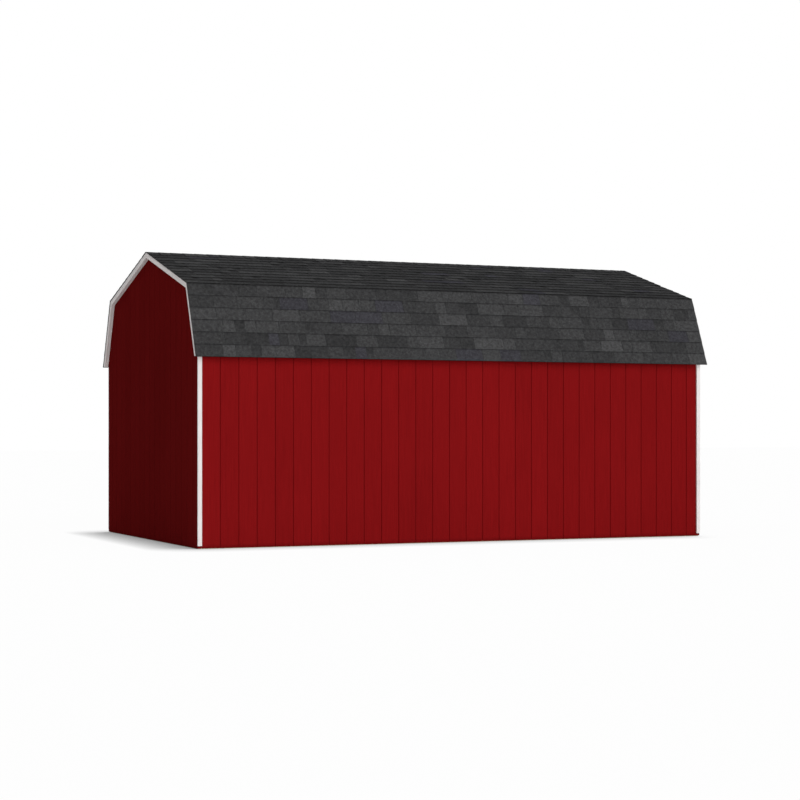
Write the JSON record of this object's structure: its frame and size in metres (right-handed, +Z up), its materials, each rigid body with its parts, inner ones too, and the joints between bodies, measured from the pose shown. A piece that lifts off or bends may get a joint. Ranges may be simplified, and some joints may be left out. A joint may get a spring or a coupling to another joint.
{
  "type": "gambrel barn",
  "caption": "Small gambrel-roofed barn with grooved red siding, white corner and rake boards and charcoal shingles, hollow inside on a timber floor.",
  "frame": {"origin": "on the ground, under the middle of the floor", "axes": "+X along the ridge to the right as seen from the front long wall, +Y from the front wall to the back wall, +Z up"},
  "size_m": [6.212, 3.7728, 3.2446],
  "materials": {
    "siding_red": "satin",
    "trim_white": "satin",
    "shingle_charcoal": "matte",
    "strand_board": "matte",
    "bare_timber": "matte"
  },
  "bodies": {
    "root": {"back_eave_soffit": "trim_white", "back_left_corner_board": "trim_white", "back_lower_rafters": "bare_timber", "back_lower_roof_sheet": "strand_board", "back_lower_shingles": "shingle_charcoal", "back_right_corner_board": "trim_white", "back_siding": "siding_red", "back_upper_rafters": "bare_timber", "back_upper_roof_sheet": "strand_board", "back_upper_shingles": "shingle_charcoal", "back_wall_frame": "bare_timber", "floor_deck": "strand_board", "floor_frame": "bare_timber", "front_eave_soffit": "trim_white", "front_left_corner_board": "trim_white", "front_lower_rafters": "bare_timber", "front_lower_roof_sheet": "strand_board", "front_lower_shingles": "shingle_charcoal", "front_right_corner_board": "trim_white", "front_siding": "siding_red", "front_upper_rafters": "bare_timber", "front_upper_roof_sheet": "strand_board", "front_upper_shingles": "shingle_charcoal", "front_wall_frame": "bare_timber", "left_back_lower_rake": "trim_white", "left_back_upper_rake": "trim_white", "left_barge": "trim_white", "left_front_lower_rake": "trim_white", "left_front_upper_rake": "trim_white", "left_gable_frame": "bare_timber", "left_gable_siding": "siding_red", "ridge_board": "bare_timber", "ridge_cap": "shingle_charcoal", "right_back_lower_rake": "trim_white", "right_back_upper_rake": "trim_white", "right_barge": "trim_white", "right_front_lower_rake": "trim_white", "right_front_upper_rake": "trim_white", "right_gable_frame": "bare_timber", "right_gable_siding": "siding_red"}
  },
  "joints": []
}
